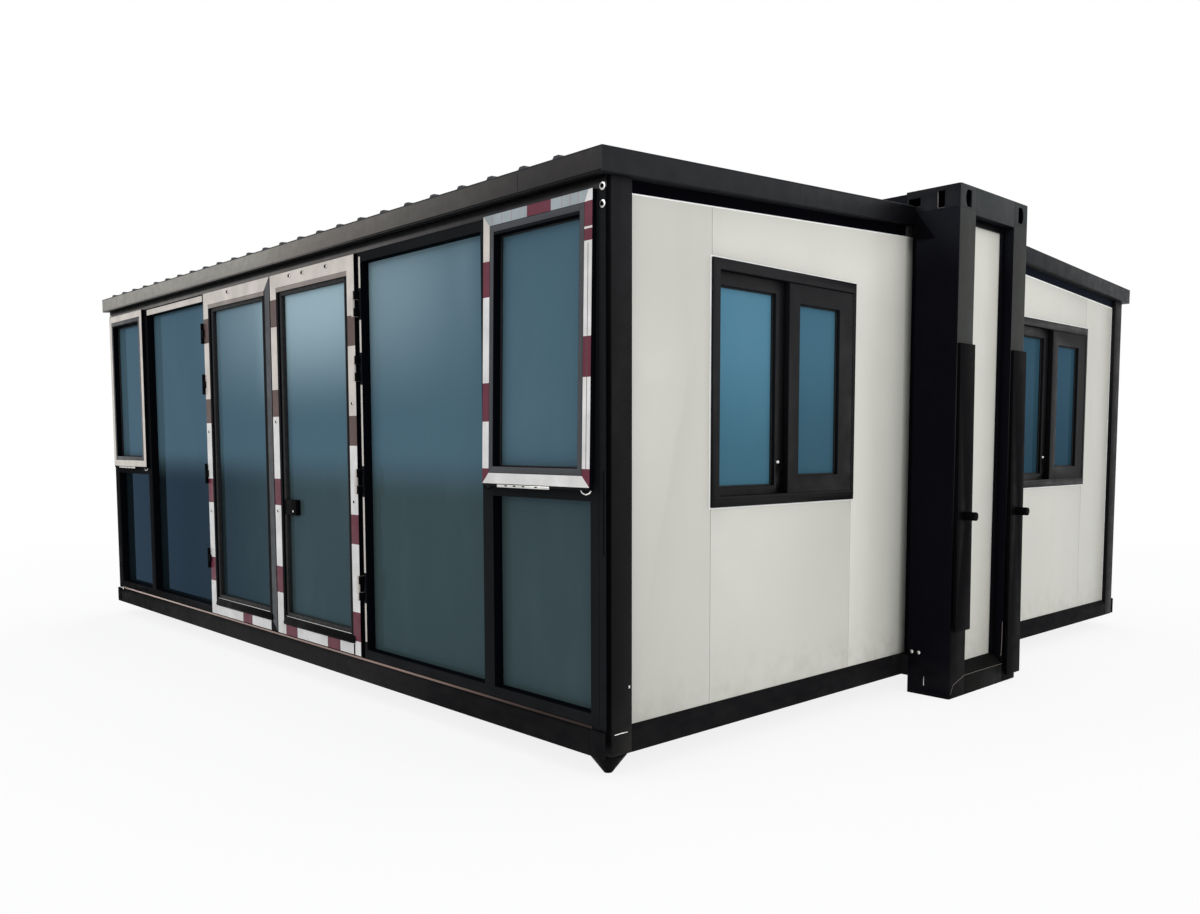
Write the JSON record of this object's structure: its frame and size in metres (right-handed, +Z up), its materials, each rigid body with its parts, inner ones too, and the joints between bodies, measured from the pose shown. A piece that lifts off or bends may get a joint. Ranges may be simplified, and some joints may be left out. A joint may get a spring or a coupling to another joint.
{
  "type": "expandable container office",
  "caption": "Fold-out cabin: narrow steel core between wings with sloped ribbed roofs, white panel walls, sliding windows and a dark glazed front with double doors.",
  "frame": {"origin": "on the ground at the middle of the building's footprint", "axes": "+X along the building towards the end with the visible core post, -Y towards the glazed front, +Z up"},
  "size_m": [6.064, 4.8336, 2.48],
  "materials": {
    "core_steel": "satin dark grey paint on folded steel",
    "wall_panel": "matt off-white coated sheet on sandwich panels",
    "bar_steel": "black painted steel bar",
    "roof_sheet": "matt dark grey ribbed sheet",
    "base_steel": "satin near-black paint",
    "floor_board": "plain grey-brown floor board",
    "roof_edge": "satin dark grey folded edge",
    "post_steel": "satin near-black paint",
    "foot_steel": "black painted foot",
    "window_frame": "dark grey powder-coated aluminium",
    "glass": "tinted double glazing",
    "sill_metal": "bare bright aluminium strip",
    "front_aluminium": "near-black powder-coated aluminium",
    "sash_aluminium": "dark aluminium with plain protective film",
    "leaf_aluminium": "dark aluminium with plain protective film",
    "hardware": "black hinge and lock parts"
  },
  "bodies": {
    "building": {"end_frame_right": "core_steel", "end_frame_left": "core_steel", "corner_fittings": "core_steel", "end_panel_right": "wall_panel", "end_panel_left": "wall_panel", "leg_bars_right": "bar_steel", "leg_bars_left": "bar_steel", "core_top_beams": "core_steel", "core_roof": "roof_sheet", "core_base_frame": "base_steel", "core_floor": "floor_board", "front_floor_frame": "base_steel", "front_floor": "floor_board", "front_roof_frame": "roof_edge", "front_roof": "roof_sheet", "front_corner_posts": "post_steel", "rear_floor_frame": "base_steel", "rear_floor": "floor_board", "rear_roof_frame": "roof_edge", "rear_roof": "roof_sheet", "rear_corner_posts": "post_steel", "levelling_foot": "foot_steel", "end_wall_front_right": "wall_panel", "end_wall_front_left": "wall_panel", "end_wall_rear_right": "wall_panel", "end_wall_rear_left": "wall_panel", "end_windows_right": "window_frame", "end_windows_left": "window_frame", "end_window_glass_right": "glass", "end_window_glass_left": "glass", "front_sill": "sill_metal", "front_head_rail": "front_aluminium", "front_frame_right": "front_aluminium", "front_frame_left": "front_aluminium", "front_glass_right": "glass", "front_glass_left": "glass", "awning_sash_right": "sash_aluminium", "awning_sash_left": "sash_aluminium", "door_lining": "front_aluminium", "door_hinge_plates": "hardware", "rear_wall": "wall_panel", "rear_windows": "window_frame", "rear_window_glass": "glass"},
    "leaf_right": {"door_leaf_right": "leaf_aluminium", "door_glass_right": "glass", "door_lock": "hardware"},
    "leaf_left": {"door_leaf_left": "leaf_aluminium", "door_glass_left": "glass"}
  },
  "joints": [
    {"name": "door_right_hinge", "type": "hinge", "parent": "building", "child": "leaf_right", "pos_m": [0.92, -2.4, 1.1775], "axis": [0, 0, 1], "range_deg": [0, 100]},
    {"name": "door_left_hinge", "type": "hinge", "parent": "building", "child": "leaf_left", "pos_m": [-0.92, -2.4, 1.1775], "axis": [0, 0, -1], "range_deg": [0, 100]}
  ]
}
